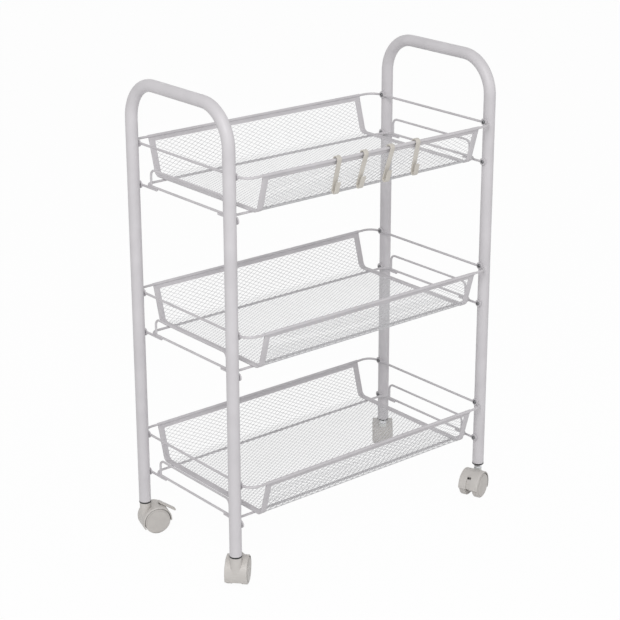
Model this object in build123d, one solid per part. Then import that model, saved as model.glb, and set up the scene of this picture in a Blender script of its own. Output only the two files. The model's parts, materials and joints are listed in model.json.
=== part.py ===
from build123d import *
import math
import os

# Driving sizes in millimetres: X runs along the cart, Y to the back, Z up from the floor

# End frames: one bent tube each
TUBE_D = 16.0
TUBE_WALL = 1.0
FRAME_X = 217.0
LEG_Y = 102.0
LEG_FOOT_Z = 46.0
HANDLE_RISE = 84.0
HANDLE_BEND_R = 50.0

# Basket levels, measured at the axis of each base wire
TIERS = ("bottom", "middle", "top")
LOWEST_BASE_Z = 90.0
TIER_PITCH = 202.5

# Basket wires
WIRE_D = 3.2
RIM_RISE = 52.0
RIM_OUT = 18.0
RIM_CORNER_R = 16.0
BASE_IN = 12.0
BASE_CORNER_R = 11.0
GUARD_WIRE_D = 3.0
GUARD_RISE = 22.0
GUARD_IN = 13.0
GUARD_BEND_R = 8.0

# Arms welded under the base wire that reach the legs
ARM_LAP = 14.0
WELD_DEPTH = 0.5
EYE_D = 10.0
EYE_T = 2.0
EYE_PROUD = 0.3
EYE_LEG_GAP = 0.3

# Mesh trough with its binding strips
TRAY_END_GAP = 26.8
WALL_SLANT = 14.0
TRAY_CORNER_R = 8.0
MESH_T = 0.6
STRIP_W = 9.0
STRIP_T = 1.6
BAND_H = 9.0
HEM_T = 0.8
SEAT_GAP = 0.15

# Screws through the wire eyes into the legs
SCREW_D = 4.0
SCREW_L = 12.0
SCREW_HEAD_D = 7.6
SCREW_HEAD_H = 2.6
SCREW_CROSS_L = 4.0
SCREW_CROSS_W = 1.0
SCREW_CROSS_H = 1.4
SCREW_PLAY = 0.1
HEAD_ROOM = 0.4

# Plugs in the open leg ends
PLUG_LIP = 1.6
PLUG_SLEEVE = 22.0
PLUG_PLAY = 0.05

# Caster stems
STEM_D = 8.0
STEM_UP = 20.0
STEM_DOWN = 22.0
STEM_PLAY = 0.05
STEM_SHOW = 1.0
COLLAR_D = 10.4
COLLAR_H = 4.4
COLLAR_GAP = 0.4

# Twin wheels, their hood and axle
WHEEL_R = 18.0
WHEEL_W = 9.2
WHEEL_EDGE = 1.2
WHEEL_DISC_R = 15.4
WHEEL_DISC_RISE = 0.5
WHEEL_SIDE_GAP = 0.4
TRAIL = 13.0
AXLE_D = 4.0
AXLE_PLAY = 0.05
AXLE_REACH = 6.0
AXLE_END_GAP = 0.4
WEB_T = 10.0
WEB_R = 12.5
HOOD_GAP = 0.7
HOOD_WALL = 1.8
HOOD_TAIL_DEG = -5.0
HOOD_NOSE_DEG = 208.0
HOOD_EDGE_R = 1.2
PRESS_PLAY = 0.02
BOSS_D = 15.0
NECK_D = 10.4

# Brake lever on the left pair of casters, and the closed lever slot of the right pair
LEVER_SPAN = 13.6
LEVER_DEG = 55.0
LEVER_HUB_D = 6.0
LEVER_W = 5.6
LEVER_PLAY = 0.4
LEVER_PIN_D = 3.0
LEVER_PIN_L = 1.2
LEVER_POCKET_DEG = 20.0
PEDAL_T = 2.2
PEDAL_W = 8.0
PEDAL_LIFT = 0.6
PEDAL_HEEL = 7.0
PEDAL_REACH = 19.5
SLOT_W = 6.0
SLOT_DEPTH = 1.4
SLOT_TOP_DEG = 48.0
SLOT_EYE_DEG = 38.0
SLOT_EYE_DEPTH = 6.0

# Heading of each caster: degrees from the X axis to the way its wheels trail
CASTERS = {
    "left_back": {"x": -1, "y": 1, "heading": -17.0},
    "left_front": {"x": -1, "y": -1, "heading": 43.0},
    "right_back": {"x": 1, "y": 1, "heading": 50.0},
    "right_front": {"x": 1, "y": -1, "heading": 200.0},
}

# Hooks on the top basket's front rim
HOOK_COUNT = 4
HOOK_PITCH = 44.0
HOOK_SHIFT = 2.0
HOOK_W = 9.0
HOOK_T = 2.2
HOOK_CLEAR = 0.3
HOOK_BACK_L = 8.0
HOOK_DROP = 41.0
HOOK_TURN_R = 4.4
HOOK_LIP = 13.0

# Sizes that follow from the ones above
TUBE_R = TUBE_D / 2
WIRE_R = WIRE_D / 2
HANDLE_Z = LOWEST_BASE_Z + TIER_PITCH * (len(TIERS) - 1) + RIM_RISE + HANDLE_RISE
EYE_FACE_X = FRAME_X - TUBE_R - EYE_LEG_GAP
WIRE_X = EYE_FACE_X - EYE_PROUD - WIRE_R
RIM_Y = LEG_Y + RIM_OUT
BASE_Y = LEG_Y - BASE_IN
GUARD_FOOT_Y = BASE_Y - GUARD_IN
TRAY_X = WIRE_X - TRAY_END_GAP
ARM_DROP = WIRE_D - WELD_DEPTH
HEM_BORE_R = WIRE_R + SEAT_GAP
HEM_R = HEM_BORE_R + HEM_T
FLOOR_RISE = WIRE_R + SEAT_GAP + STRIP_T / 2
SHELL_IN_R = WHEEL_R + HOOD_GAP
SHELL_OUT_R = SHELL_IN_R + HOOD_WALL
WHEEL_IN_Y = WEB_T / 2 + WHEEL_SIDE_GAP
WHEEL_OUT_Y = WHEEL_IN_Y + WHEEL_W
BOSS_TOP_Z = LEG_FOOT_Z - PLUG_LIP - COLLAR_GAP
STEM_LOW_Z = BOSS_TOP_Z - STEM_DOWN
COLLAR_TOP_Z = BOSS_TOP_Z - STEM_SHOW
NECK_TOP_Z = COLLAR_TOP_Z - COLLAR_H - COLLAR_GAP
WALL_LEN = math.hypot(WALL_SLANT, RIM_RISE - FLOOR_RISE)
WALL_IN = WALL_SLANT / WALL_LEN
WALL_DOWN = (RIM_RISE - FLOOR_RISE) / WALL_LEN


def base_z(tier):
    """Height of a basket's base wire axis."""
    return LOWEST_BASE_Z + TIER_PITCH * TIERS.index(tier)


def leg_signs():
    """The four corners as sign pairs along X and Y."""
    return [(sx, sy) for sx in (-1, 1) for sy in (-1, 1)]


def wire_along(path, diameter):
    """Round wire swept along a planar path."""
    section = Plane(origin=path @ 0, z_dir=path % 0) * Circle(diameter / 2)
    return sweep(section, path=path)


def along_x(sketch, x_low, x_high):
    """Extrude a sketch drawn in Y and Z between two X stations."""
    section = Plane(origin=(x_low, 0, 0), x_dir=(0, 1, 0), z_dir=(1, 0, 0)) * sketch
    return extrude(section, amount=x_high - x_low)


def x_cylinder(diameter, x_low, x_high, y, z):
    """Round bar along X between two stations."""
    start = Plane(origin=(x_low, y, z), z_dir=(1, 0, 0))
    return extrude(start * Circle(diameter / 2), amount=x_high - x_low)


# End frames

def screw_levels():
    """Heights of the screws in each leg."""
    levels = []
    for tier in TIERS:
        levels.append(base_z(tier) - ARM_DROP)
        levels.append(base_z(tier) + RIM_RISE)
    return levels


def end_frame(side):
    """Bent tube whose top is the push handle, with screw holes on its inner side."""
    plane = Plane(origin=(side * FRAME_X, 0, 0), x_dir=(0, 1, 0), z_dir=(1, 0, 0))
    path = plane * FilletPolyline(
        (LEG_Y, LEG_FOOT_Z),
        (LEG_Y, HANDLE_Z),
        (-LEG_Y, HANDLE_Z),
        (-LEG_Y, LEG_FOOT_Z),
        radius=HANDLE_BEND_R,
    )
    start = Plane(origin=path @ 0, z_dir=path % 0)
    ring = start * (Circle(TUBE_R) - Circle(TUBE_R - TUBE_WALL))
    tube = sweep(ring, path=path)
    hole_d = SCREW_D + 2 * SCREW_PLAY
    for sy in (-1, 1):
        for z in screw_levels():
            inner, middle = sorted((side * (FRAME_X - TUBE_D), side * FRAME_X))
            tube -= x_cylinder(hole_d, inner, middle, sy * LEG_Y, z)
    return tube


def leg_plug(sx, sy):
    """Plastic plug that closes a leg and holds a caster stem."""
    lip = Cylinder(TUBE_R, PLUG_LIP, align=(Align.CENTER, Align.CENTER, Align.MAX))
    sleeve_r = TUBE_R - TUBE_WALL - PLUG_PLAY
    sleeve = Cylinder(sleeve_r, PLUG_SLEEVE, align=(Align.CENTER, Align.CENTER, Align.MIN))
    bore = Cylinder(STEM_D / 2 + PLUG_PLAY, 2 * (PLUG_LIP + PLUG_SLEEVE))
    return Pos(sx * FRAME_X, sy * LEG_Y, LEG_FOOT_Z) * (lip + sleeve - bore)


# Baskets

def eye(sx, sy, z):
    """Flattened eye that a screw passes through, against a leg's inner side."""
    low, high = sorted((sx * (EYE_FACE_X - EYE_T), sx * EYE_FACE_X))
    return x_cylinder(EYE_D, low, high, sy * LEG_Y, z)


def eye_cut(sx, sy, z):
    """Screw hole through an eye, with room for the screw's head."""
    low, high = sorted((sx * (EYE_FACE_X - EYE_T - WIRE_D), sx * FRAME_X))
    hole = x_cylinder(SCREW_D + 2 * SCREW_PLAY, low, high, sy * LEG_Y, z)
    face = sx * (EYE_FACE_X - EYE_T)
    low, high = sorted((face, face - sx * WIRE_D))
    return hole + x_cylinder(SCREW_HEAD_D + 2 * HEAD_ROOM, low, high, sy * LEG_Y, z)


def with_eyes(frame, z):
    """Add the four screw eyes to a wire frame at one height."""
    for sx, sy in leg_signs():
        frame += eye(sx, sy, z)
    for sx, sy in leg_signs():
        frame -= eye_cut(sx, sy, z)
    return frame


def wire_loop(half_x, half_y, corner_r, z):
    """Closed wire rectangle with round corners, bent as two halves and butt welded."""
    loop = []
    for sx in (-1, 1):
        path = Plane.XY.offset(z) * FilletPolyline(
            (0, -half_y),
            (sx * half_x, -half_y),
            (sx * half_x, half_y),
            (0, half_y),
            radius=corner_r,
        )
        loop.append(wire_along(path, WIRE_D))
    return loop[0] + loop[1]


def rim_wire(tier):
    """Top wire of a basket: it passes inside the legs and carries their screw eyes."""
    z = base_z(tier) + RIM_RISE
    return with_eyes(wire_loop(WIRE_X, RIM_Y, RIM_CORNER_R, z), z)


def base_frame(tier):
    """Bottom wire of a basket with four welded arms that reach the legs."""
    z = base_z(tier)
    frame = wire_loop(WIRE_X, BASE_Y, BASE_CORNER_R, z)
    arm_start = BASE_Y - BASE_CORNER_R - ARM_LAP
    for sx, sy in leg_signs():
        start = Plane(origin=(sx * WIRE_X, sy * arm_start, z - ARM_DROP), z_dir=(0, sy, 0))
        frame += extrude(start * Circle(WIRE_R), amount=LEG_Y - arm_start)
    return with_eyes(frame, z - ARM_DROP)


def guard_wire(tier, side):
    """End guard: a bent wire that stands on the base wire's short side."""
    plane = Plane(origin=(side * WIRE_X, 0, base_z(tier)), x_dir=(0, 1, 0), z_dir=(1, 0, 0))
    foot = WIRE_R + SEAT_GAP
    path = plane * FilletPolyline(
        (GUARD_FOOT_Y, foot),
        (GUARD_FOOT_Y, GUARD_RISE),
        (-GUARD_FOOT_Y, GUARD_RISE),
        (-GUARD_FOOT_Y, foot),
        radius=GUARD_BEND_R,
    )
    return wire_along(path, GUARD_WIRE_D)


def wall_point(sy, along, out=0.0):
    """Point of a slanted wall in Y and Z: along it from the rim axis and out from it."""
    y = RIM_Y - along * WALL_IN + out * WALL_DOWN
    z = RIM_RISE - along * WALL_DOWN - out * WALL_IN
    return (sy * y, z)


def floor_corner(out):
    """Sharp corner between a wall's skin and the floor's, in Y and Z."""
    top_y, top_z = wall_point(1, 0, out)
    z = FLOOR_RISE - out
    return (top_y - (top_z - z) * WALL_IN / WALL_DOWN, z)


def mirrored(points):
    """Points of one wall followed by their mirror images on the other wall."""
    return points + [(-y, z) for y, z in reversed(points)]


def trough_section(thickness):
    """Cross-section of the trough below its top bands."""
    half = thickness / 2
    inner_top = wall_point(1, BAND_H, -half)
    outer = make_face(
        Polyline(*mirrored([inner_top, wall_point(1, BAND_H, half), floor_corner(half)]), close=True)
    )
    inner = make_face(Polyline(*mirrored([inner_top, floor_corner(-half)]), close=True))
    outer = fillet(outer.vertices().group_by(Axis.Y)[0], TRAY_CORNER_R + half)
    inner = fillet(inner.vertices().group_by(Axis.Y)[0], TRAY_CORNER_R - half)
    return outer - inner


def mesh_tray(tier):
    """Mesh trough: floor and two slanted walls, open at both ends."""
    half = TRAY_X - STRIP_W
    return Pos(0, 0, base_z(tier)) * along_x(trough_section(MESH_T), -half, half)


def end_strip(tier, side):
    """Binding strip round one open end of the trough."""
    low, high = sorted((side * (TRAY_X - STRIP_W), side * TRAY_X))
    return Pos(0, 0, base_z(tier)) * along_x(trough_section(STRIP_T), low, high)


def top_band(tier, sy):
    """Binding strip along a wall's top, rolled round the rim wire."""
    half = STRIP_T / 2
    strip = make_face(
        Polyline(
            wall_point(sy, 0, half),
            wall_point(sy, BAND_H, half),
            wall_point(sy, BAND_H, -half),
            wall_point(sy, 0, -half),
            close=True,
        )
    )
    centre = Pos(*wall_point(sy, 0))
    section = strip + centre * Circle(HEM_R) - centre * Circle(HEM_BORE_R)
    return Pos(0, 0, base_z(tier)) * along_x(section, -TRAY_X, TRAY_X)


def basket_screw(sx, sy, z):
    """Pan-head screw through an eye into a leg."""
    face = EYE_FACE_X - EYE_T
    plane = Plane(origin=(sx * face, sy * LEG_Y, z), z_dir=(sx, 0, 0))
    shank = extrude(plane * Circle(SCREW_D / 2), amount=SCREW_L)
    head = extrude(plane * Circle(SCREW_HEAD_D / 2), amount=-SCREW_HEAD_H)
    cross = Rectangle(SCREW_CROSS_L, SCREW_CROSS_W) + Rectangle(SCREW_CROSS_W, SCREW_CROSS_L)
    recess = extrude(plane.offset(-SCREW_HEAD_H) * cross, amount=SCREW_CROSS_H)
    return shank + head - recess


def basket_screws(tier):
    """The eight screws that hold one basket."""
    z = base_z(tier)
    levels = (z - ARM_DROP, z + RIM_RISE)
    return [basket_screw(sx, sy, level) for sx, sy in leg_signs() for level in levels]


# Casters, drawn at the origin with the wheels trailing along +X

def caster_stem(exposed):
    """Steel stem in the leg's plug: the plain casters show its collar."""
    stem_l = LEG_FOOT_Z + STEM_UP - STEM_LOW_Z
    stem = Pos(0, 0, STEM_LOW_Z) * Cylinder(
        STEM_D / 2, stem_l, align=(Align.CENTER, Align.CENTER, Align.MIN)
    )
    if exposed:
        collar = Cylinder(COLLAR_D / 2, COLLAR_H, align=(Align.CENTER, Align.CENTER, Align.MAX))
        stem += Pos(0, 0, COLLAR_TOP_Z) * collar
    return stem


def polar(radius, degrees):
    """Point round the axle in X and Z, from its radius and its angle above the tail."""
    angle = math.radians(degrees)
    return (TRAIL + radius * math.cos(angle), WHEEL_R + radius * math.sin(angle))


def sector(radius, low_deg, high_deg):
    """Pie slice round the axle, in X and Z."""
    middle = polar(radius, (low_deg + high_deg) / 2)
    arc = ThreePointArc(polar(radius, low_deg), middle, polar(radius, high_deg))
    axle = polar(0, 0)
    return make_face([arc, Line(arc @ 1, axle), Line(axle, arc @ 0)])


def across(sketch, half_width):
    """Extrude a sketch drawn in X and Z evenly to both sides of the caster."""
    return extrude(Plane.XZ * sketch, amount=half_width, both=True)


def wheel_space(side):
    """Room for one wheel beside the web."""
    room = Plane(origin=(TRAIL, side * WEB_T / 2, WHEEL_R), z_dir=(0, side, 0))
    return extrude(room * Circle(SHELL_IN_R), amount=WHEEL_OUT_Y)


def hood_slot(floor_r, low_deg, high_deg, half_width):
    """Slot cut into the hood round the axle, down to one radius."""
    slice_r = SHELL_OUT_R + BOSS_D
    return across(sector(slice_r, low_deg, high_deg) - sector(floor_r, low_deg, high_deg), half_width)


def lever_pins(diameter, length):
    """Pins that the brake lever turns on, one at each side of its hub."""
    return across(Pos(*polar(LEVER_SPAN, LEVER_DEG)) * Circle(diameter / 2), LEVER_W / 2 + length)


def lever_pocket():
    """Slot over the hood's tail that the brake lever turns in, with its pin holes."""
    floor_r = LEVER_SPAN - LEVER_HUB_D / 2 - LEVER_PLAY
    low = LEVER_DEG - LEVER_POCKET_DEG
    high = LEVER_DEG + LEVER_POCKET_DEG
    pocket = hood_slot(floor_r, low, high, LEVER_W / 2 + LEVER_PLAY)
    return pocket + lever_pins(LEVER_PIN_D + 2 * AXLE_PLAY, LEVER_PIN_L + LEVER_PLAY)


def blank_slot():
    """Shallow slot down the tail of a hood without a brake, with a deeper eye at its top."""
    below = HOOD_TAIL_DEG - LEVER_POCKET_DEG
    slot = hood_slot(SHELL_OUT_R - SLOT_DEPTH, below, SLOT_TOP_DEG, SLOT_W / 2)
    return slot + hood_slot(SHELL_OUT_R - SLOT_EYE_DEPTH, SLOT_EYE_DEG, SLOT_TOP_DEG, SLOT_W / 2)


def caster_hood(braked):
    """Moulded hood: web between the wheels, cover over them and the stem's boss."""
    cover = across(sector(SHELL_OUT_R, HOOD_TAIL_DEG, HOOD_NOSE_DEG), WHEEL_OUT_Y)
    cover = fillet(cover.edges().filter_by(GeomType.CIRCLE), HOOD_EDGE_R)
    hood = cover + across(Pos(*polar(0, 0)) * Circle(WEB_R), WEB_T / 2)
    boss_top = BOSS_TOP_Z if braked else NECK_TOP_Z
    boss_d = BOSS_D if braked else NECK_D
    column = Cylinder(boss_d / 2, boss_top - STEM_LOW_Z, align=(Align.CENTER, Align.CENTER, Align.MIN))
    hood += Pos(0, 0, STEM_LOW_Z) * column
    hood -= wheel_space(1)
    hood -= wheel_space(-1)
    bore_r = STEM_D / 2 + STEM_PLAY
    hood -= Pos(0, 0, STEM_LOW_Z - COLLAR_GAP) * Cylinder(
        bore_r, boss_top, align=(Align.CENTER, Align.CENTER, Align.MIN)
    )
    hood -= across(Pos(*polar(0, 0)) * Circle(AXLE_D / 2 + PRESS_PLAY), WEB_T)
    return hood - (lever_pocket() if braked else blank_slot())


def caster_wheel(side):
    """Wheel with bevelled tread edges, a low raised disc and a blind bore for the axle."""
    inner = Plane(origin=(TRAIL, side * WHEEL_IN_Y, WHEEL_R), z_dir=(0, side, 0))
    tread = extrude(inner * Circle(WHEEL_R), amount=WHEEL_W)
    tread = chamfer(tread.edges().filter_by(GeomType.CIRCLE), WHEEL_EDGE)
    disc = extrude(inner.offset(WHEEL_W) * Circle(WHEEL_DISC_R), amount=WHEEL_DISC_RISE)
    bore = extrude(inner * Circle(AXLE_D / 2 + AXLE_PLAY), amount=AXLE_REACH + AXLE_END_GAP)
    return tread + disc - bore


def caster_axle():
    """Steel axle pressed through the web, with a wheel on each end."""
    return across(Pos(*polar(0, 0)) * Circle(AXLE_D / 2), WHEEL_IN_Y + AXLE_REACH)


def brake_lever():
    """Foot lever over the hood's tail: hub with pins, rib through the slot and pedal on top."""
    spoke = Pos(*polar(0, 0)) * Rot(0, 0, LEVER_DEG)
    pedal_r = SHELL_OUT_R + PEDAL_LIFT
    hub = Pos(LEVER_SPAN, 0) * Circle(LEVER_HUB_D / 2)
    rib = Pos((LEVER_SPAN + pedal_r) / 2, 0) * Rectangle(pedal_r - LEVER_SPAN, LEVER_HUB_D)
    pedal = Pos(pedal_r + PEDAL_T / 2, (PEDAL_HEEL - PEDAL_REACH) / 2) * Rectangle(
        PEDAL_T, PEDAL_HEEL + PEDAL_REACH
    )
    lever = across(spoke * (hub + rib), LEVER_W / 2) + across(spoke * pedal, PEDAL_W / 2)
    return lever + lever_pins(LEVER_PIN_D, LEVER_PIN_L)


def on_leg(name, solid):
    """Put a caster piece under its leg at its heading."""
    place = CASTERS[name]
    turn = Rotation(0, 0, place["heading"])
    return Pos(place["x"] * FRAME_X, place["y"] * LEG_Y, 0) * turn * solid


# Hooks

def hook(index):
    """Moulded strip hook over the front rim: back leg, arch, long front leg and turned-up lip."""
    x = HOOK_SHIFT + HOOK_PITCH * (index - (HOOK_COUNT - 1) / 2)
    arch_in = HEM_R + HOOK_CLEAR
    arch_out = arch_in + HOOK_T
    leg_u = (arch_in + arch_out) / 2
    turn_u = arch_out + HOOK_TURN_R
    turn_out = HOOK_TURN_R + HOOK_T
    lip_u = turn_u + HOOK_TURN_R + HOOK_T / 2
    upper = Pos(0, -arch_out) * Rectangle(2 * arch_out, 2 * arch_out)
    lower = Pos(turn_u, HOOK_DROP + turn_out) * Rectangle(2 * turn_out, 2 * turn_out)
    section = (Circle(arch_out) - Circle(arch_in)) & upper
    section += Pos(turn_u, HOOK_DROP) * (Circle(turn_out) - Circle(HOOK_TURN_R)) & lower
    section += Pos(-leg_u, HOOK_BACK_L / 2) * Rectangle(HOOK_T, HOOK_BACK_L)
    section += Pos(leg_u, HOOK_DROP / 2) * Rectangle(HOOK_T, HOOK_DROP)
    section += Pos(lip_u, HOOK_DROP - HOOK_LIP / 2) * Rectangle(HOOK_T, HOOK_LIP)
    rim_z = base_z(TIERS[-1]) + RIM_RISE
    wall = Plane(origin=(x, -RIM_Y, rim_z), x_dir=(0, -WALL_DOWN, -WALL_IN), z_dir=(1, 0, 0))
    return extrude(wall * section, amount=HOOK_W / 2, both=True)


def write(name, solids):
    """Write one named piece, or a group of separate solids, as a STEP file."""
    solids = solids if isinstance(solids, list) else [solids]
    shape = solids[0] if len(solids) == 1 else Compound(children=[s.solid() for s in solids])
    shape.label = name
    export_step(shape, f"parts/{name}.step")


os.makedirs("parts", exist_ok=True)
for frame_name, frame_side in (("left", -1), ("right", 1)):
    write(f"end_frame_{frame_name}", end_frame(frame_side))
write("leg_plugs", [leg_plug(sx, sy) for sx, sy in leg_signs()])

for tier_name in TIERS:
    write(f"rim_wire_{tier_name}", rim_wire(tier_name))
    write(f"base_frame_{tier_name}", base_frame(tier_name))
    write(f"mesh_tray_{tier_name}", mesh_tray(tier_name))
    write(f"front_band_{tier_name}", top_band(tier_name, -1))
    write(f"back_band_{tier_name}", top_band(tier_name, 1))
    write(f"basket_screws_{tier_name}", basket_screws(tier_name))
    for end_name, end_side in (("left", -1), ("right", 1)):
        write(f"end_strip_{tier_name}_{end_name}", end_strip(tier_name, end_side))
        write(f"guard_wire_{tier_name}_{end_name}", guard_wire(tier_name, end_side))

for corner, place in CASTERS.items():
    braked = place["x"] < 0
    write(f"stem_{corner}", on_leg(corner, caster_stem(not braked)))
    write(f"hood_{corner}", on_leg(corner, caster_hood(braked)))
    write(f"wheel_{corner}_a", on_leg(corner, caster_wheel(-1)))
    write(f"wheel_{corner}_b", on_leg(corner, caster_wheel(1)))
    write(f"axle_{corner}", on_leg(corner, caster_axle()))
    if braked:
        write(f"brake_lever_{corner}", on_leg(corner, brake_lever()))

for hook_index in range(HOOK_COUNT):
    write(f"hook_{hook_index + 1}", hook(hook_index))
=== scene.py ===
import json
import math
from collections import namedtuple

import bpy
from mathutils import Color, Matrix, Vector


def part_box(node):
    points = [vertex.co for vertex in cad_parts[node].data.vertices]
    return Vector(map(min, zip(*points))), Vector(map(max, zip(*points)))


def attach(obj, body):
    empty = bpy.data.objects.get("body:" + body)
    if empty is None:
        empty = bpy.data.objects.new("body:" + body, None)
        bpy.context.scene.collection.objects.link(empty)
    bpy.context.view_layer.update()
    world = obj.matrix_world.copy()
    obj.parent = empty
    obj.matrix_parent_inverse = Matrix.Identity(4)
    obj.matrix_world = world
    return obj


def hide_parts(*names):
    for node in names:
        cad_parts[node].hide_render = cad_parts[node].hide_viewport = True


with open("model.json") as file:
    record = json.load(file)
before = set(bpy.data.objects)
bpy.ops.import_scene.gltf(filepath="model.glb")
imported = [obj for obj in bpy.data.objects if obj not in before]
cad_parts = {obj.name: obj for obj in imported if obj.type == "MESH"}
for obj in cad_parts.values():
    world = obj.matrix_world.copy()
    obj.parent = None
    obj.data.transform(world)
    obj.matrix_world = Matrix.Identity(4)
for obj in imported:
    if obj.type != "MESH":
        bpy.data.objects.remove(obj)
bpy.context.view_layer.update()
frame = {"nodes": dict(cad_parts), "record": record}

# Driving sizes in metres: X runs along the cart, Y to the back, Z up from the floor

# Baskets and their wires
TIERS = ("bottom", "middle", "top")
WIRES = ("rim_wire_", "base_frame_", "guard_wire_")
WIRE_R = 0.0016

# Section of the mesh troughs
SHEET_T = 0.0006
WALL_SLANT = 0.014
TROUGH_CORNER_R = 0.008

# Expanded mesh: diamonds with their long way along the cart, the floor's strands wider than the walls'
MESH_LONG = 0.0100
MESH_SHORT = 0.0054
FLOOR_STRAND_W = 0.00098
FLOOR_STRAND_RISE = 0.00020
WALL_STRAND_W = 0.00050
WALL_STRAND_RISE = 0.00006
STRAND_T = 0.00015
MESH_UNDER_STRIP = 0.004
MESH_UNDER_BAND = 0.002

# Crease of the mesh along its front bend, placed by its share of the bend
CREASE_AT = 0.55
CREASE_HALF_W = 0.0018
CREASE_HALF_T = 0.0003
CREASE_EDGE_R = 0.00015

# Bands: a strip folded over the rim wire, its outer flap shorter than its inner one
BAND_H = 0.0068
BAND_FLAP = 0.0052
BAND_HALF_T = 0.0006
HEM_R = 0.0021

# End strips: bent along the open ends of the mesh, their tops tucked under the bands
END_STRIP_HALF_T = 0.0008
END_STRIP_EDGE_R = 0.0005
END_STRIP_TUCK = 0.003

# Places of the legs: the distance of each axis from the middle of the cart, and the sides it stands on
LEG_X = 0.217
LEG_Y = 0.102
LEG_CORNERS = {
    "left_back": (-1, 1),
    "left_front": (-1, -1),
    "right_back": (1, 1),
    "right_front": (1, -1),
}

# Basket screws: pan heads with a cross recess on the wire eyes, shanks in the legs, as radius and height
SCREW_SEAT_X = 0.2067
SOLID_HEAD_R = 0.0038
CROSS_HALF_L = 0.0012
CROSS_HALF_W = 0.00032
CROSS_DEPTH = 0.0008
SCREW_RINGS = (
    (0.0012, -0.0120),
    (0.0016, -0.0116),
    (0.0016, 0.0),
    (0.0027, 0.0),
    (0.0027, 0.0006),
    (0.0025, 0.0012),
    (0.0020, 0.0016),
    (0.0016, 0.0017),
)

# Black ring of each leg plug round the end of its tube, as radius and height
LEG_RING = (
    (0.0072, 0.0441),
    (0.0077, 0.0441),
    (0.0081, 0.0444),
    (0.0082, 0.0448),
    (0.0082, 0.0461),
    (0.0081, 0.0464),
    (0.0078, 0.0465),
    (0.0072, 0.0465),
)

# Right casters: a pale sleeve on the neck and a bright grooved collar above it, as radius and height
COLLARED_CORNERS = ("right_front", "right_back")
NECK_SLEEVE = (
    (0.0049, 0.0328),
    (0.0055, 0.0328),
    (0.0055, 0.0377),
    (0.00535, 0.03805),
    (0.0051, 0.0382),
    (0.0049, 0.0382),
)
COLLAR = (
    (0.0049, 0.0386),
    (0.0051, 0.0386),
    (0.0054, 0.0389),
    (0.0054, 0.0403),
    (0.00525, 0.0405),
    (0.00525, 0.0411),
    (0.0054, 0.0413),
    (0.0054, 0.0427),
    (0.0051, 0.0430),
    (0.0049, 0.0430),
)

# Hooks: a moulded strip over the front rim, its long leg turned up into a lip, each hanging a little askew
HOOK_LEAN_DEG = {"hook_1": -0.5, "hook_2": 4.5, "hook_3": 4.5, "hook_4": -2.5}
HOOK_W = 0.0068
HOOK_T = 0.0022
HOOK_BACK_L = 0.008
HOOK_DROP = 0.041
HOOK_TURN_R = 0.0019
HOOK_LIP = 0.013
HOOK_EDGE_R = 0.0006
HOOK_END_EDGE_R = HOOK_EDGE_R / 4

# Steps of the curves, and the angle from which an edge stays sharp
ARC_STEPS = 12
CREASE_STEPS = 4
EDGE_STEPS = 3
HEM_STEPS = 20
LATHE_STEPS = 40
SHARP_EDGE = math.radians(40)

# Kinds of finish: grains per metre of mottle, gloss and bump, then what the bump is like, how metallic it is
# and whether painted shade darkens its narrow gaps
Kind = namedtuple("Kind", "mottle gloss bump detail strength depth metallic dark_gaps")
POWDER_COAT = Kind(
    mottle=30.0, gloss=160.0, bump=900.0, detail=3.0,
    strength=0.12, depth=0.0002, metallic=0.0, dark_gaps=False,
)
MOULDED_PLASTIC = Kind(
    mottle=70.0, gloss=300.0, bump=2200.0, detail=2.0,
    strength=0.10, depth=0.0001, metallic=0.0, dark_gaps=True,
)
ZINC_PLATE = Kind(
    mottle=500.0, gloss=1200.0, bump=3000.0, detail=2.0,
    strength=0.08, depth=0.0001, metallic=1.0, dark_gaps=False,
)
SOFT_DETAIL = 2.0
NOISE_LOW = 0.3
NOISE_HIGH = 0.7
# Painted shade in narrow gaps: how far to look for nearby surfaces, how closed a gap is at full shade and at
# none, and the shade's colour as a share of the finish's darker colour
GAP_REACH = 0.004
GAP_CLOSED = 0.15
GAP_OPEN = 0.65
PAINTED_GAP_SHADE_DEPTH = 0.25

# Finishes: the kind, the mottle's darker and lighter colour as a screen shows them, the range of roughness
SCREEN_WHITE = 255
FINISHES = {
    "white_paint": (POWDER_COAT, (205, 202, 205), (213, 210, 213), (0.40, 0.52)),
    # The white paint a shade darker, as painted shade, for the basket's wires, bands and end strips
    "white_paint_in_painted_shade": (POWDER_COAT, (197, 194, 197), (205, 202, 205), (0.40, 0.52)),
    "mesh_paint": (POWDER_COAT, (200, 200, 202), (208, 208, 210), (0.40, 0.52)),
    "zinc_steel": (ZINC_PLATE, (205, 206, 208), (232, 233, 235), (0.25, 0.42)),
    "dull_zinc": (ZINC_PLATE, (105, 105, 107), (140, 140, 142), (0.25, 0.42)),
    "pale_plastic": (MOULDED_PLASTIC, (222, 224, 221), (230, 232, 229), (0.35, 0.50)),
    "black_plastic": (MOULDED_PLASTIC, (22, 22, 23), (34, 34, 35), (0.40, 0.55)),
    "grey_plastic": (MOULDED_PLASTIC, (200, 196, 192), (207, 203, 199), (0.40, 0.55)),
    "wheel_plastic": (MOULDED_PLASTIC, (194, 190, 186), (202, 198, 194), (0.42, 0.58)),
    "hook_plastic": (MOULDED_PLASTIC, (199, 194, 186), (208, 203, 195), (0.30, 0.42)),
}

# Camera at the photo's viewing angle, its lens and shift meant for a square image
CAMERA_AT = (-1.4202, -1.7152, 1.1239)
CAMERA_AZIMUTH = math.radians(-40.292)
CAMERA_ELEVATION = math.radians(19.282)
CAMERA_ROLL = math.radians(0.169)
SENSOR_MM = 36.0
LENS_MM = 102.19
SHIFT_X = -0.0398
SHIFT_Y = -0.0505

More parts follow.
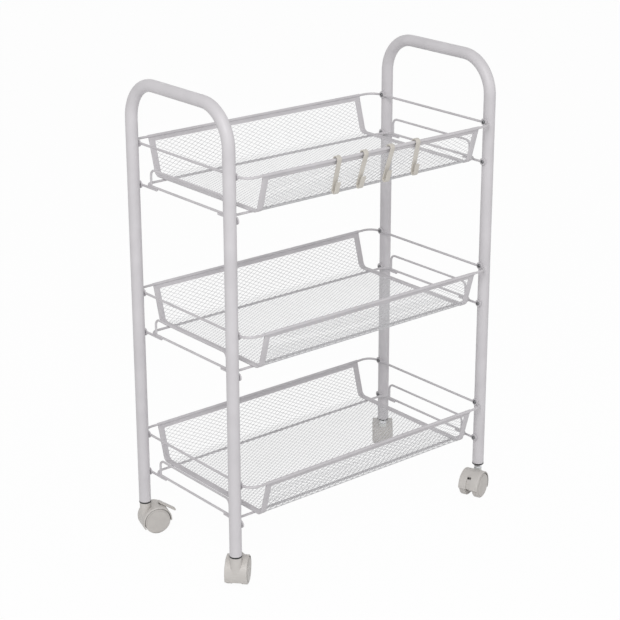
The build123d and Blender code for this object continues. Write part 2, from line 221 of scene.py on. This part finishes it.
# Soft studio light on a white floor
WHITE = (1.0, 1.0, 1.0, 1.0)
WORLD_LIGHT = 0.50
BACKDROP_LIGHT = 1.0
KEY_AT = (-1.7, -1.8, 2.2)
KEY_SIDE = 1.2
KEY_POWER = 42.0
FILL_AT = (1.6, -2.4, 1.6)
FILL_SIDE = 2.0
FILL_POWER = 6.0
LIGHT_AIM = (0.0, 0.0, 0.3)
FLOOR_SIDE = 8.0
FLOOR_PAINT = {"Base Color": (0.9, 0.9, 0.9, 1.0), "Roughness": 0.9, "Specular IOR Level": 0.1}
FLOOR_GLOW = 0.965


# Materials

def set_inputs(node, values):
    """Set several of a node's inputs by name."""
    for name, value in values.items():
        node.inputs[name].default_value = value


def linear(shown):
    """Scene colour of a colour given as a screen shows it."""
    return Color([channel / SCREEN_WHITE for channel in shown]).from_srgb_to_scene_linear()


class Surface:
    """A node material in the making, with its texture space tied to the piece."""

    def __init__(self, name):
        self.material = bpy.data.materials.new(name)
        self.material.use_nodes = True
        self.nodes = self.material.node_tree.nodes
        self.links = self.material.node_tree.links
        self.shader = self.nodes["Principled BSDF"]
        self.place = self.nodes.new("ShaderNodeTexCoord").outputs["Object"]

    def noise(self, scale, detail=SOFT_DETAIL):
        """Noise over the piece: scale is in grains per metre."""
        node = self.nodes.new("ShaderNodeTexNoise")
        self.links.new(self.place, node.inputs["Vector"])
        set_inputs(node, {"Scale": scale, "Detail": detail})
        return node.outputs["Fac"]

    def colour(self, value, dark, light):
        """Blend the shader's colour between two by a noise."""
        node = self.nodes.new("ShaderNodeValToRGB")
        self.links.new(value, node.inputs["Fac"])
        first, last = node.color_ramp.elements
        first.position = NOISE_LOW
        last.position = NOISE_HIGH
        first.color = (*dark, 1.0)
        last.color = (*light, 1.0)
        self.links.new(node.outputs["Color"], self.shader.inputs["Base Color"])

    def roughness(self, value, low, high):
        """Vary the shader's roughness in a range by a noise."""
        node = self.nodes.new("ShaderNodeMapRange")
        self.links.new(value, node.inputs["Value"])
        set_inputs(node, {"From Min": NOISE_LOW, "From Max": NOISE_HIGH, "To Min": low, "To Max": high})
        self.links.new(node.outputs["Result"], self.shader.inputs["Roughness"])

    def paint_gap_shade(self, painted_shade_colour):
        """Darken the colour with painted shade in narrow gaps between pieces, where shade gathers."""
        socket = self.shader.inputs["Base Color"]
        paint = socket.links[0].from_socket
        gap = self.nodes.new("ShaderNodeAmbientOcclusion")
        set_inputs(gap, {"Distance": GAP_REACH})
        openness = self.nodes.new("ShaderNodeMapRange")
        self.links.new(gap.outputs["AO"], openness.inputs["Value"])
        set_inputs(openness, {"From Min": GAP_CLOSED, "From Max": GAP_OPEN})
        mix = self.nodes.new("ShaderNodeMixRGB")
        set_inputs(mix, {"Color1": (*painted_shade_colour, 1.0)})
        self.links.new(openness.outputs["Result"], mix.inputs["Fac"])
        self.links.new(paint, mix.inputs["Color2"])
        self.links.new(mix.outputs["Color"], socket)

    def bump(self, height, strength, depth):
        """Raise the surface by a noise."""
        node = self.nodes.new("ShaderNodeBump")
        self.links.new(height, node.inputs["Height"])
        set_inputs(node, {"Strength": strength, "Distance": depth})
        self.links.new(node.outputs["Normal"], self.shader.inputs["Normal"])


def make_finish(name):
    """Material of a finish: a soft mottle, a gloss that varies a little and a fine bump."""
    kind, dark_shown, light_shown, (smooth, rough) = FINISHES[name]
    dark = linear(dark_shown)
    surface = Surface(name)
    surface.colour(surface.noise(kind.mottle), dark, linear(light_shown))
    # Moulded plastic gets painted shade in its narrow gaps
    if kind.dark_gaps:
        surface.paint_gap_shade(dark * PAINTED_GAP_SHADE_DEPTH)
    surface.roughness(surface.noise(kind.gloss), smooth, rough)
    surface.bump(surface.noise(kind.bump, kind.detail), kind.strength, kind.depth)
    set_inputs(surface.shader, {"Metallic": kind.metallic})
    return surface.material


materials = {finish_name: make_finish(finish_name) for finish_name in FINISHES}


def dress(piece, finish):
    """Give a piece one of the finishes."""
    piece.data.materials.clear()
    piece.data.materials.append(materials[finish])


def dress_solids():
    """Give every solid of the frame the finish of its slot, the thin wires a darker copy of the white paint
    as painted shade.
    """
    for part in frame["record"]["subparts"]:
        node = part["node"]
        finish = "white_paint_in_painted_shade" if node.startswith(WIRES) else part["material_slot"]
        dress(frame["nodes"][node], finish)


# Pieces

def new_piece(name, points, faces, slot, body, finish=None):
    """A mesh piece in the frame's own place, riding on a body, in its slot's finish or a variant of it."""
    mesh = bpy.data.meshes.new(name)
    mesh.from_pydata(points, [], faces)
    piece = bpy.data.objects.new(name, mesh)
    bpy.context.scene.collection.objects.link(piece)
    dress(piece, finish or slot)
    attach(piece, body)
    return piece


def round_off(piece):
    """Shade a piece smooth except at its sharp edges."""
    piece.data.shade_smooth()
    piece.data.set_sharp_from_angle(angle=SHARP_EDGE)


def rounded_section(half_t, half_w, radius):
    """Outline of a strip with rounded edges, as offsets across its thickness and its width."""
    outline = []
    for corner, (thick_side, wide_side) in enumerate(((1, 1), (-1, 1), (-1, -1), (1, -1))):
        for step in range(EDGE_STEPS + 1):
            angle = math.pi / 2 * (corner + step / EDGE_STEPS)
            outline.append((
                thick_side * (half_t - radius) + radius * math.cos(angle),
                wide_side * (half_w - radius) + radius * math.sin(angle),
            ))
    return outline


def tube_faces(total, count):
    """Faces of a swept outline of count points, closed at both ends."""
    faces = [tuple(reversed(range(count))), tuple(range(total - count, total))]
    for start in range(0, total - count, count):
        for spot in range(count):
            here, there = start + spot, start + (spot + 1) % count
            faces.append((here, there, there + count, here + count))
    return faces


# Mesh troughs

class Trough:
    """Section of a basket's mesh, measured along it from the middle of the floor up over a wall."""

    def __init__(self, tier):
        tray_low, tray_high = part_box(f"mesh_tray_{tier}")
        rim_low, rim_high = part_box(f"rim_wire_{tier}")
        self.rim_y = rim_high.y - WIRE_R
        self.rim_z = (rim_low.z + rim_high.z) / 2
        self.floor_z = tray_low.z + SHEET_T / 2
        self.half_x = tray_high.x
        rise = self.rim_z - self.floor_z
        self.turn = math.atan2(rise, WALL_SLANT)
        corner_in = TROUGH_CORNER_R * math.tan(self.turn / 2)
        self.flat = self.rim_y - WALL_SLANT - corner_in
        self.arc = TROUGH_CORNER_R * self.turn
        self.band_edge = self.flat + self.arc + math.hypot(rise, WALL_SLANT) - corner_in - BAND_H

    def place(self, x, along, lift=0.0):
        """Point at a station along the cart, a distance along the section and a lift off the mesh."""
        reach = abs(along)
        angle = min(max((reach - self.flat) / TROUGH_CORNER_R, 0.0), self.turn)
        wall = max(reach - self.flat - self.arc, 0.0)
        radius = TROUGH_CORNER_R - lift
        y = min(reach, self.flat) + radius * math.sin(angle) + wall * math.cos(self.turn)
        z = self.floor_z + TROUGH_CORNER_R - radius * math.cos(angle) + wall * math.sin(self.turn)
        return (x, math.copysign(y, along), z)


def mesh_trough(tier):
    """Open diamond mesh of one basket: each hole is tipped, so that the strands between holes lie aslant."""
    trough = Trough(tier)
    step_x, step_along = MESH_LONG / 2, MESH_SHORT / 2
    half_cell = step_x * step_along / math.hypot(step_x, step_along)
    last_column = math.ceil((trough.half_x + MESH_UNDER_STRIP) / step_x)
    last_row = math.ceil((trough.band_edge + MESH_UNDER_BAND) / step_along)
    points = []
    holes = {}
    for row in range(-last_row + 1, last_row):
        for column in range(-last_column + 1, last_column):
            if (row + column) % 2:
                continue
            x, along = column * step_x, row * step_along
            if abs(along) < trough.flat:
                width, rise = FLOOR_STRAND_W, FLOOR_STRAND_RISE
            else:
                width, rise = WALL_STRAND_W, WALL_STRAND_RISE
            opening = 1 - width / 2 / half_cell
            holes[column, row] = len(points)
            points.append(trough.place(x - opening * step_x, along))
            points.append(trough.place(x, along - opening * step_along, -rise))
            points.append(trough.place(x + opening * step_x, along))
            points.append(trough.place(x, along + opening * step_along, rise))
    faces = []
    # Corners of a hole, in the order of its points
    left, low, right, high = range(4)
    for (column, row), hole in holes.items():
        above = holes.get((column + 1, row + 1))
        below = holes.get((column + 1, row - 1))
        beside = holes.get((column + 2, row))
        if above is not None:
            faces.append((hole + right, above + low, above + left, hole + high))
        if below is not None:
            faces.append((hole + low, below + left, below + high, hole + right))
        if None not in (above, below, beside):
            faces.append((hole + right, below + high, beside + left, above + low))
    piece = new_piece(f"mesh_{tier}", points, faces, "mesh_paint", "cart")
    sheet = piece.modifiers.new("sheet", "SOLIDIFY")
    sheet.thickness = STRAND_T
    sheet.offset = 0.0
    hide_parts(f"mesh_tray_{tier}")


def front_crease(tier):
    """Band of mesh pressed flat along the bend between the floor and the front wall."""
    trough = Trough(tier)
    middle = trough.flat + trough.arc * CREASE_AT
    outline = rounded_section(CREASE_HALF_T, trough.half_x, CREASE_EDGE_R)
    points = []
    for step in range(CREASE_STEPS + 1):
        along = middle + CREASE_HALF_W * (1 - 2 * step / CREASE_STEPS)
        points.extend(trough.place(wide, -along, thick) for thick, wide in outline)
    faces = tube_faces(len(points), len(outline))
    round_off(new_piece(f"crease_{tier}", points, faces, "mesh_paint", "cart"))


# Bands and end strips

def band_outline():
    """Outline of a rolled band, as inward offsets from the wall and distances down from the rim."""
    outline = [(BAND_HALF_T, BAND_H)]
    meet = math.asin(BAND_HALF_T / HEM_R)
    for step in range(HEM_STEPS + 1):
        angle = meet + (2 * math.pi - 2 * meet) * step / HEM_STEPS
        outline.append((HEM_R * math.sin(angle), HEM_R * math.cos(angle)))
    return [*outline, (-BAND_HALF_T, BAND_FLAP), (0.0, BAND_FLAP), (0.0, BAND_H)]


def rolled_band(tier, edge, side):
    """Band along one long edge of a basket; side is -1 at the front and 1 at the back."""
    node = f"{edge}_band_{tier}"
    low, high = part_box(node)
    trough = Trough(tier)
    steep, level = math.sin(trough.turn), math.cos(trough.turn)
    outline = band_outline()
    points = []
    for x in (low.x, high.x):
        for inward, down in outline:
            y = trough.rim_y - inward * steep - down * level
            z = trough.rim_z + inward * level - down * steep
            points.append((x, side * y, z))
    faces = tube_faces(len(points), len(outline))
    # The back band mirrors the front one, so its faces are turned to look outward too
    if side > 0:
        faces = [tuple(reversed(face)) for face in faces]
    # The band in the darker copy of the white paint, as painted shade
    piece = new_piece(f"{edge}_band_{tier}_rolled", points, faces, "white_paint", "cart", "white_paint_in_painted_shade")
    round_off(piece)
    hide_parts(node)


def end_strip(tier, end):
    """Strip that binds an open end of the mesh: down one wall, across the floor and up the other."""
    node = f"end_strip_{tier}_{end}"
    low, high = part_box(node)
    middle = (low.x + high.x) / 2
    trough = Trough(tier)
    half = [trough.flat + trough.arc * step / ARC_STEPS for step in range(ARC_STEPS + 1)]
    half.append(trough.band_edge + END_STRIP_TUCK)
    stations = [-along for along in reversed(half)] + half
    outline = rounded_section(END_STRIP_HALF_T, (high.x - low.x) / 2, END_STRIP_EDGE_R)
    points = [trough.place(middle + wide, along, thick) for along in stations for thick, wide in outline]
    faces = tube_faces(len(points), len(outline))
    # The strip in the darker copy of the white paint, as painted shade
    piece = new_piece(f"{node}_bent", points, faces, "white_paint", "cart", "white_paint_in_painted_shade")
    round_off(piece)
    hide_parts(node)


# Screws

def cross_outline():
    """Corners of the cross recess, in turn round the screw's axis."""
    arm = (
        (CROSS_HALF_L, -CROSS_HALF_W),
        (CROSS_HALF_L, CROSS_HALF_W),
        (CROSS_HALF_W, CROSS_HALF_W),
    )
    corners = []
    for quarter in range(4):
        turn = quarter * math.pi / 2
        for along, across in arm:
            corners.append((
                along * math.cos(turn) - across * math.sin(turn),
                along * math.sin(turn) + across * math.cos(turn),
            ))
    return corners


def screw_mesh():
    """Points and faces of one screw on its own axis, its head standing up."""
    cross = cross_outline()
    angles = [math.atan2(across, along) for along, across in cross]
    points = []
    for radius, height in SCREW_RINGS:
        points.extend((radius * math.cos(angle), radius * math.sin(angle), height) for angle in angles)
    head_top = SCREW_RINGS[-1][1]
    for height in (head_top, head_top - CROSS_DEPTH):
        points.extend((along, across, height) for along, across in cross)
    return points, tube_faces(len(points), len(cross))


def basket_screws(tier):
    """The eight screws that hold one basket to the legs, on the axes of the solid ones."""
    node = f"basket_screws_{tier}"
    low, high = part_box(node)
    shape, sides = screw_mesh()
    points = []
    faces = []
    for end in (-1, 1):
        for leg in (-1, 1):
            for level in (low.z + SOLID_HEAD_R, high.z - SOLID_HEAD_R):
                start = len(points)
                for along, across, height in shape:
                    points.append((end * (SCREW_SEAT_X - height), leg * LEG_Y + end * along, level + across))
                faces.extend(tuple(start + spot for spot in reversed(face)) for face in sides)
    piece = new_piece(f"screws_{tier}", points, faces, "zinc_steel", "cart", "dull_zinc")
    round_off(piece)
    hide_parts(node)


# Leg ends and casters

def leg_ring(name, corner, profile, slot, body, finish=None):
    """Turned ring on the axis of a leg."""
    end, side = LEG_CORNERS[corner]
    points = []
    faces = []
    count = len(profile)
    for step in range(LATHE_STEPS):
        angle = 2 * math.pi * step / LATHE_STEPS
        for radius, height in profile:
            points.append((
                end * LEG_X + radius * math.cos(angle),
                side * LEG_Y + radius * math.sin(angle),
                height,
            ))
        here = step * count
        ahead = (step + 1) % LATHE_STEPS * count
        for spot in range(count):
            after = (spot + 1) % count
            faces.append((here + spot, ahead + spot, ahead + after, here + after))
    round_off(new_piece(f"{name}_{corner}", points, faces, slot, body, finish))


# Hooks

def hook_line(arch_r):
    """Middle line of a hook in steps: out from the wall, down it, and which way the strip faces."""
    turn_r = HOOK_TURN_R + HOOK_T / 2
    turn_out = arch_r + turn_r
    line = [(-arch_r, HOOK_BACK_L, -1.0, 0.0)]
    for step in range(ARC_STEPS + 1):
        angle = math.pi * (1 + step / ARC_STEPS)
        across, down = math.cos(angle), math.sin(angle)
        line.append((arch_r * across, arch_r * down, across, down))
    for step in range(ARC_STEPS + 1):
        angle = math.pi * (1 - step / ARC_STEPS)
        across, down = math.cos(angle), math.sin(angle)
        line.append((turn_out + turn_r * across, HOOK_DROP + turn_r * down, -across, -down))
    line.append((turn_out + turn_r, HOOK_DROP - HOOK_LIP, -1.0, 0.0))
    return line


def strip_hook(name, lean):
    """Hook of one swept strip with rounded edges and ends."""
    low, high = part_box(name)
    trough = Trough("top")
    steep, level = math.sin(trough.turn), math.cos(trough.turn)
    origin = Vector(((low.x + high.x) / 2, -trough.rim_y, trough.rim_z))
    out = Vector((0.0, -steep, -level))
    down = Vector((0.0, level, -steep))
    line = hook_line(high.z - trough.rim_z - HOOK_T / 2)
    full = rounded_section(HOOK_T / 2, HOOK_W / 2, HOOK_EDGE_R)
    small = rounded_section(HOOK_T / 2 - HOOK_EDGE_R, HOOK_W / 2 - HOOK_EDGE_R, HOOK_END_EDGE_R)
    rings = [(line[0], HOOK_EDGE_R, small)]
    rings.extend((place, 0.0, full) for place in line)
    rings.append((line[-1], -HOOK_EDGE_R, small))
    points = []
    # Each outline runs backwards, so that the faces look outward
    for (out_by, down_by, face_out, face_down), beyond, outline in rings:
        for thick, wide in reversed(outline):
            drop = down_by + thick * face_down + beyond
            aside = Vector((wide - math.tan(lean) * max(drop, 0.0), 0.0, 0.0))
            points.append(origin + out * (out_by + thick * face_out) + down * drop + aside)
    faces = tube_faces(len(points), len(full))
    piece = new_piece(f"{name}_strip", points, faces, "hook_plastic", name)
    piece.data.shade_smooth()
    piece.modifiers.new("flat_faces", "WEIGHTED_NORMAL")
    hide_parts(name)


# Studio

def camera_axes():
    """Right, up and back of the camera as unit vectors."""
    flat = math.cos(CAMERA_ELEVATION)
    ahead = Vector((
        -math.sin(CAMERA_AZIMUTH) * flat,
        math.cos(CAMERA_AZIMUTH) * flat,
        -math.sin(CAMERA_ELEVATION),
    ))
    level = ahead.cross(Vector((0, 0, 1))).normalized()
    upright = level.cross(ahead)
    right = level * math.cos(CAMERA_ROLL) + upright * math.sin(CAMERA_ROLL)
    return right, right.cross(ahead), -ahead


def add_camera():
    """Camera at the photo's viewing angle."""
    data = bpy.data.cameras.new("camera")
    data.sensor_width = SENSOR_MM
    data.lens = LENS_MM
    data.shift_x = SHIFT_X
    data.shift_y = SHIFT_Y
    camera = bpy.data.objects.new("camera", data)
    turn = Matrix(camera_axes()).transposed().to_4x4()
    camera.matrix_world = Matrix.Translation(CAMERA_AT) @ turn
    bpy.context.scene.collection.objects.link(camera)
    bpy.context.scene.camera = camera


def add_lamp(name, place, side, power):
    """Square soft light turned to the cart."""
    data = bpy.data.lights.new(name, "AREA")
    data.size = side
    data.energy = power
    lamp = bpy.data.objects.new(name, data)
    lamp.location = place
    lamp.rotation_euler = (Vector(LIGHT_AIM) - Vector(place)).to_track_quat("-Z", "Y").to_euler()
    bpy.context.scene.collection.objects.link(lamp)


def seen_directly(nodes, links):
    """One for rays that show the background: from the camera, a reflection or through glass."""
    path = nodes.new("ShaderNodeLightPath")
    total = path.outputs["Is Camera Ray"]
    for name in ("Is Glossy Ray", "Is Transmission Ray"):
        both = nodes.new("ShaderNodeMath")
        both.operation = "MAXIMUM"
        links.new(total, both.inputs[0])
        links.new(path.outputs[name], both.inputs[1])
        total = both.outputs[0]
    return total


def add_world():
    """White backdrop with an even soft light."""
    world = bpy.data.worlds.new("studio")
    world.use_nodes = True
    nodes, links = world.node_tree.nodes, world.node_tree.links
    light = nodes["Background"]
    set_inputs(light, {"Color": WHITE, "Strength": WORLD_LIGHT})
    backdrop = nodes.new("ShaderNodeBackground")
    set_inputs(backdrop, {"Color": WHITE, "Strength": BACKDROP_LIGHT})
    choice = nodes.new("ShaderNodeMixShader")
    links.new(seen_directly(nodes, links), choice.inputs["Fac"])
    links.new(light.outputs["Background"], choice.inputs[1])
    links.new(backdrop.outputs["Background"], choice.inputs[2])
    links.new(choice.outputs["Shader"], nodes["World Output"].inputs["Surface"])
    bpy.context.scene.world = world


def add_floor():
    """White floor that keeps a soft shadow of the cart."""
    half = FLOOR_SIDE / 2
    mesh = bpy.data.meshes.new("floor")
    corners = [(-half, -half, 0), (half, -half, 0), (half, half, 0), (-half, half, 0)]
    mesh.from_pydata(corners, [], [(0, 1, 2, 3)])
    material = bpy.data.materials.new("floor")
    material.use_nodes = True
    nodes, links = material.node_tree.nodes, material.node_tree.links
    paint = nodes["Principled BSDF"]
    set_inputs(paint, FLOOR_PAINT)
    glow = nodes.new("ShaderNodeEmission")
    share = nodes.new("ShaderNodeMath")
    share.operation = "MULTIPLY"
    share.inputs[1].default_value = FLOOR_GLOW
    links.new(seen_directly(nodes, links), share.inputs[0])
    choice = nodes.new("ShaderNodeMixShader")
    links.new(share.outputs[0], choice.inputs["Fac"])
    links.new(paint.outputs["BSDF"], choice.inputs[1])
    links.new(glow.outputs["Emission"], choice.inputs[2])
    links.new(choice.outputs["Shader"], nodes["Material Output"].inputs["Surface"])
    mesh.materials.append(material)
    floor = bpy.data.objects.new("floor", mesh)
    bpy.context.scene.collection.objects.link(floor)


dress_solids()
for tier_name in TIERS:
    mesh_trough(tier_name)
    front_crease(tier_name)
    rolled_band(tier_name, "front", -1)
    rolled_band(tier_name, "back", 1)
    end_strip(tier_name, "left")
    end_strip(tier_name, "right")
    basket_screws(tier_name)
for corner_name in LEG_CORNERS:
    leg_ring("leg_ring", corner_name, LEG_RING, "black_plastic", "cart")
for corner_name in COLLARED_CORNERS:
    caster = f"caster_{corner_name}"
    leg_ring("neck_sleeve", corner_name, NECK_SLEEVE, "grey_plastic", caster, "pale_plastic")
    leg_ring("collar", corner_name, COLLAR, "zinc_steel", caster)
for hook_name, lean_deg in HOOK_LEAN_DEG.items():
    strip_hook(hook_name, math.radians(lean_deg))

add_camera()
add_world()
add_floor()
add_lamp("key", KEY_AT, KEY_SIDE, KEY_POWER)
add_lamp("fill", FILL_AT, FILL_SIDE, FILL_POWER)
bpy.context.scene.view_settings.view_transform = "Standard"
